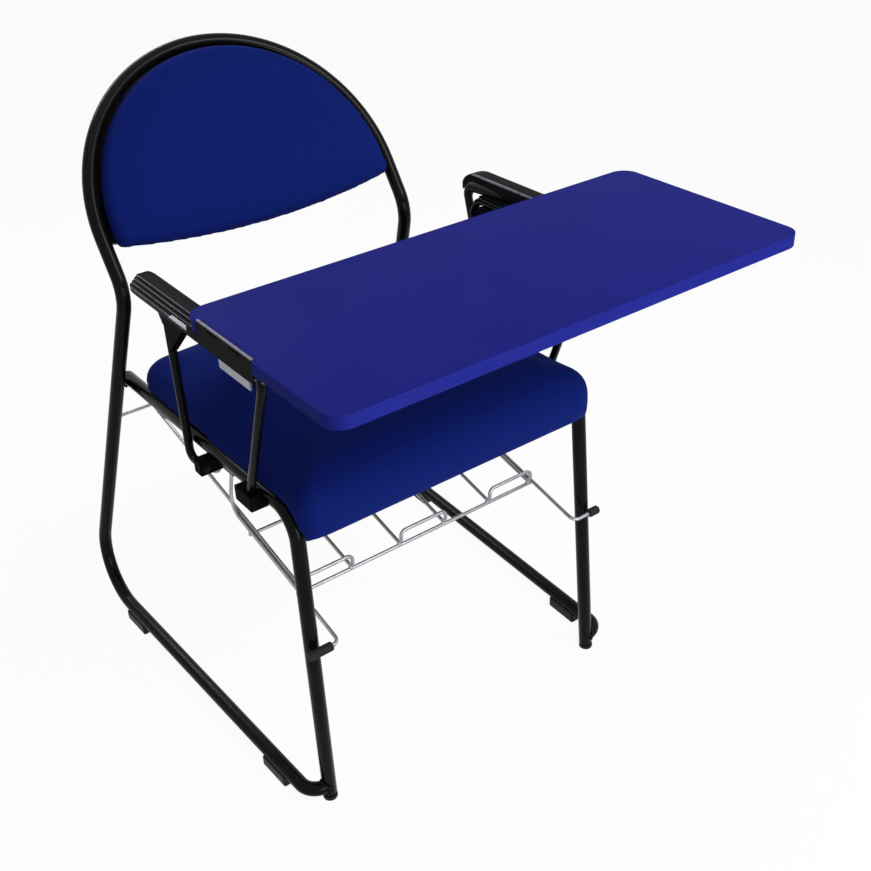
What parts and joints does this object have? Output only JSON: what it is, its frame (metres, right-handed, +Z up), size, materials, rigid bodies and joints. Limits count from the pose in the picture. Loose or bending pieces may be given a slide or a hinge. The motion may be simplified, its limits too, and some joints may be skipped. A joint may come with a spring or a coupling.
{
  "type": "training chair",
  "caption": "Training chair with a bent-tube sled frame, blue padded seat and back, arm loops, a blue flip-up writing tablet and a wire book basket under the seat.",
  "frame": {"origin": "middle of the whole chair's box, at floor level", "axes": "+Z up, the chair faces -Y, +X is the sitter's left"},
  "size_m": [0.6468, 0.7628, 0.8254],
  "materials": {
    "powder_coat": "semi-gloss black powder coat",
    "blue_fabric": "tight woven upholstery",
    "blue_laminate": "satin laminate",
    "blue_edging": "smooth edging",
    "black_plastic": "fine moulded grain",
    "zinc_plate": "bright zinc plate",
    "black_rubber": "matt",
    "plywood": "sanded"
  },
  "bodies": {
    "frame": {"arm_bolt_front_left": "zinc_plate", "arm_bolt_front_right": "zinc_plate", "arm_bolt_rear_left": "zinc_plate", "arm_bolt_rear_right": "zinc_plate", "arm_clamp_front_left": "powder_coat", "arm_clamp_front_right": "powder_coat", "arm_clamp_rear_left": "powder_coat", "arm_clamp_rear_right": "powder_coat", "arm_loop_left": "powder_coat", "arm_loop_right": "powder_coat", "arm_pad_left": "black_plastic", "arm_pad_right": "black_plastic", "back_board": "plywood", "back_cover": "black_plastic", "back_cushion": "blue_fabric", "back_hoop": "powder_coat", "back_tab_low_left": "powder_coat", "back_tab_low_right": "powder_coat", "back_tab_top_left": "powder_coat", "back_tab_top_right": "powder_coat", "basket_cross_wire": "zinc_plate", "basket_front_rail": "zinc_plate", "basket_rear_bar": "zinc_plate", "basket_side_wire_left": "zinc_plate", "basket_side_wire_right": "zinc_plate", "basket_sleeve_left": "black_rubber", "basket_sleeve_right": "black_rubber", "basket_tray_wire_left": "zinc_plate", "basket_tray_wire_middle": "zinc_plate", "basket_tray_wire_right": "zinc_plate", "front_leg_left": "powder_coat", "front_leg_right": "powder_coat", "glide_front_left": "black_plastic", "glide_front_right": "black_plastic", "glide_rear_left": "black_plastic", "glide_rear_right": "black_plastic", "hinge_bar": "zinc_plate", "hinge_leaf_arm": "powder_coat", "hinge_pin": "zinc_plate", "leg_cap_left": "black_plastic", "leg_cap_right": "black_plastic", "pad_bracket_front_left": "zinc_plate", "pad_bracket_front_right": "zinc_plate", "pad_bracket_rear_left": "powder_coat", "pad_bracket_rear_right": "powder_coat", "rear_leg_left": "powder_coat", "rear_leg_right": "powder_coat", "runner_left": "powder_coat", "runner_right": "powder_coat", "seat_bar_front": "powder_coat", "seat_bar_rear": "powder_coat", "seat_board": "plywood", "seat_cushion": "blue_fabric", "seat_rail_left": "powder_coat", "seat_rail_right": "powder_coat"},
    "tablet": {"tablet_board": "blue_laminate", "tablet_edge_band": "blue_edging", "tablet_rest": "black_rubber", "hinge_leaf_tablet": "powder_coat"}
  },
  "joints": [
    {"name": "tablet_flip", "type": "hinge", "parent": "frame", "child": "tablet", "pos_m": [-0.31594, -0.17942, 0.6727], "axis": [0, -1, 0], "range_deg": [0, 105]}
  ]
}
